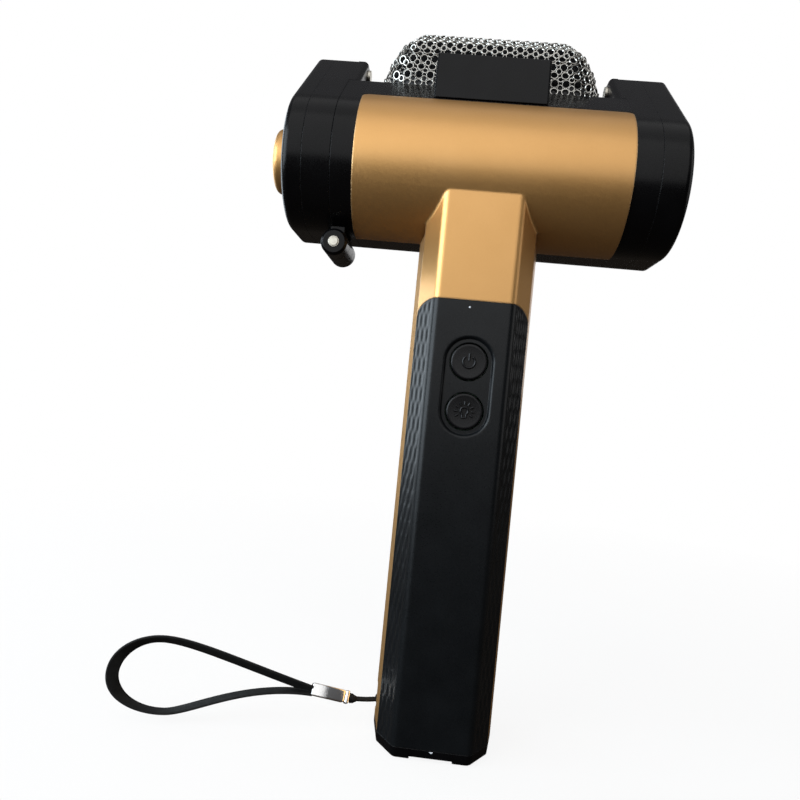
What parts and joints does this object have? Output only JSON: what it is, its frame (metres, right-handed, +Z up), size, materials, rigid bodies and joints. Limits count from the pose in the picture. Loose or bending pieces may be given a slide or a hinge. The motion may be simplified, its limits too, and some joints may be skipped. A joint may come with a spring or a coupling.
{
  "type": "karaoke microphone",
  "caption": "T-shaped handheld karaoke microphone with a gold barrel head, hinged end door, mesh basket on top, straight grip with push buttons and wrist strap.",
  "frame": {"origin": "centre of the underside of the handle's bottom cap", "axes": "+Z up along the handle, +X along the barrel away from the hinged door, -Y towards the buttons"},
  "size_m": [0.1854, 0.0545, 0.2665],
  "materials": {
    "black_shell": "satin moulded plastic",
    "gold_paint": "satin metallic paint",
    "grip_black": "soft-touch with textured sides",
    "button_black": "matte with embossed symbols",
    "polished_steel": "polished",
    "wire_mesh": "bright woven wire",
    "foam": "open-cell foam",
    "webbing": "woven",
    "board_green": "printed circuit board",
    "inner_plastic": "matte",
    "plated_metal": "nickel plated",
    "cell_wrap": "shrink sleeve",
    "magnet": "nickel plated",
    "paper_cone": "pressed paper",
    "soft_rubber": "matte",
    "lamp": "clear diffuse"
  },
  "bodies": {
    "handset": {"left_collar": "black_shell", "right_end_housing": "black_shell", "right_end_cover": "black_shell", "front_shell": "gold_paint", "head_housing": "black_shell", "hinge_pin": "plated_metal", "pin_clip": "polished_steel", "rear_cover": "black_shell", "cover_screws": "plated_metal", "fixed_lug_screw": "plated_metal", "collar_magnet": "magnet", "battery_cell": "cell_wrap", "battery_cradle": "inner_plastic", "battery_contact": "plated_metal", "amplifier_board": "board_green", "speaker_frame": "plated_metal", "speaker_cone": "paper_cone", "speaker_magnet": "magnet", "speaker_gasket": "soft_rubber", "mesh_basket": "wire_mesh", "basket_frame": "inner_plastic", "foam_liner": "foam", "basket_front_block": "black_shell", "capsule_bridge": "inner_plastic", "capsule_mount": "soft_rubber", "microphone_capsule": "plated_metal", "light_board": "board_green", "light_leds": "lamp", "grip_panel": "grip_black", "rear_shell": "gold_paint", "shell_screws": "plated_metal", "strap_pin": "polished_steel", "handle_spine": "inner_plastic", "switch_board": "board_green", "button_switches": "inner_plastic", "status_led": "lamp", "main_board": "board_green", "port_board": "board_green", "charging_port": "plated_metal"},
    "door": {"door_cover": "black_shell", "door_frame": "black_shell", "door_lug_screw": "plated_metal", "door_magnet": "magnet", "door_contact": "plated_metal", "dial_encoder": "plated_metal", "encoder_board": "board_green"},
    "dial": {"volume_dial": "gold_paint"},
    "power_key": {"power_button": "button_black"},
    "light_key": {"light_button": "button_black"},
    "end_cap": {"bottom_cap": "black_shell"},
    "strap": {"strap_cord": "webbing", "strap_clasp": "polished_steel", "strap_webbing": "webbing"}
  },
  "joints": [
    {"name": "door_hinge", "type": "hinge", "parent": "handset", "child": "door", "pos_m": [-0.0528, -0.001, 0.1786], "axis": [0, -1, 0], "range_deg": [0, 110]},
    {"name": "dial_turn", "type": "hinge", "parent": "door", "child": "dial", "pos_m": [-0.0724, 0, 0.21], "axis": [1, 0, 0], "range_deg": [-150, 150]},
    {"name": "power_press", "type": "slide", "parent": "handset", "child": "power_key", "axis": [0, 1, 0], "range_m": [0, 0.0008], "stiffness_N_per_m": 800},
    {"name": "light_press", "type": "slide", "parent": "handset", "child": "light_key", "axis": [0, 1, 0], "range_m": [0, 0.0008], "stiffness_N_per_m": 800},
    {"name": "cap_pull", "type": "slide", "parent": "handset", "child": "end_cap", "axis": [0, 0, -1], "range_m": [0, 0.02], "stiffness_N_per_m": 400},
    {"name": "strap_swing", "type": "hinge", "parent": "handset", "child": "strap", "pos_m": [-0.0199, 0, 0.01], "axis": [0, 1, 0], "range_deg": [-40, 60]}
  ]
}
